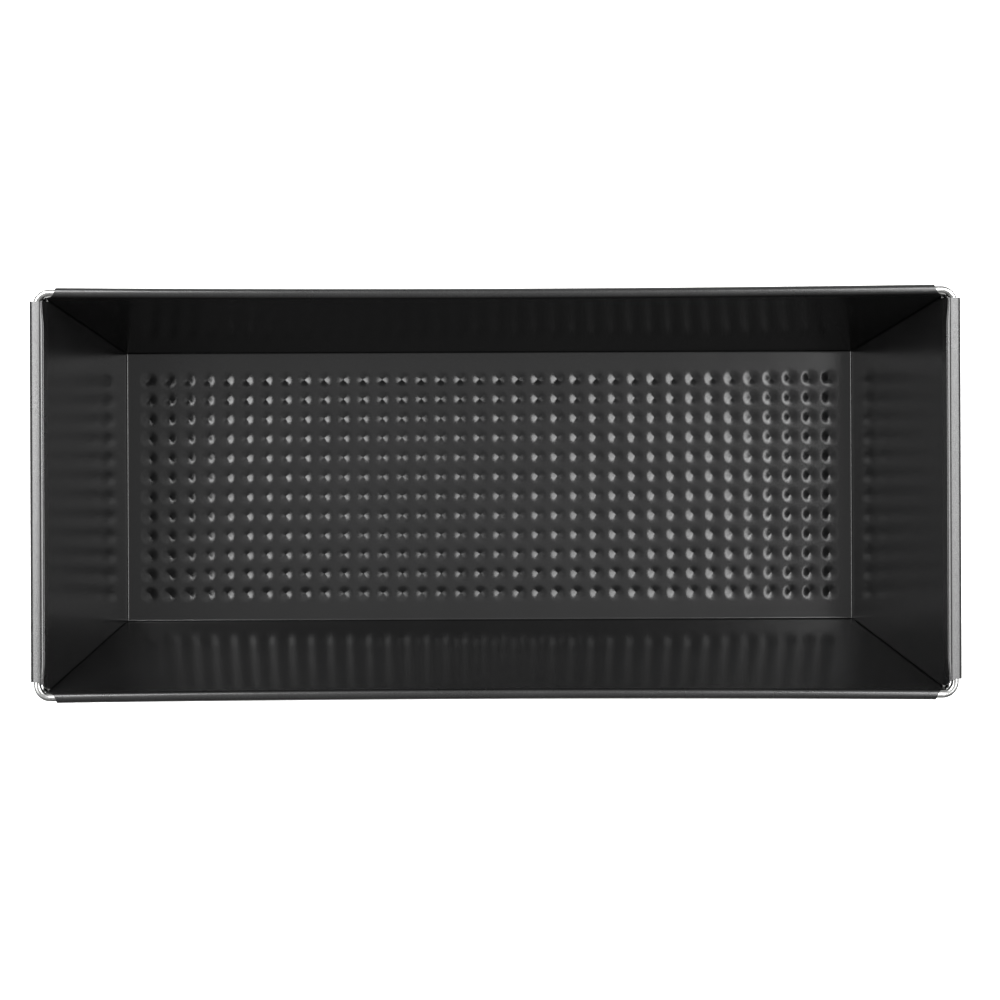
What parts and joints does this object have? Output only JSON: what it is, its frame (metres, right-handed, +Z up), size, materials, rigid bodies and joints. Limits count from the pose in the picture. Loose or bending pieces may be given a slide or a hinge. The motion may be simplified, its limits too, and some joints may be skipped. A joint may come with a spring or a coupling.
{
  "type": "loaf pan",
  "caption": "Rectangular folded sheet-steel loaf pan with flared walls, a dented floor and a wired rolled rim, for baking bread and cakes.",
  "frame": {"origin": "centre of the resting plane, which touches the tips of the dents under the floor", "axes": "+X along the length, +Y to the rear long side, +Z up out of the open mouth"},
  "size_m": [0.3096, 0.1382, 0.07],
  "materials": {
    "coated_sheet": "satin black non-stick coating on steel sheet",
    "bright_wire": "bright drawn steel wire"
  },
  "bodies": {
    "root": {"pan_body": "coated_sheet", "rim_wire": "bright_wire"}
  },
  "joints": []
}
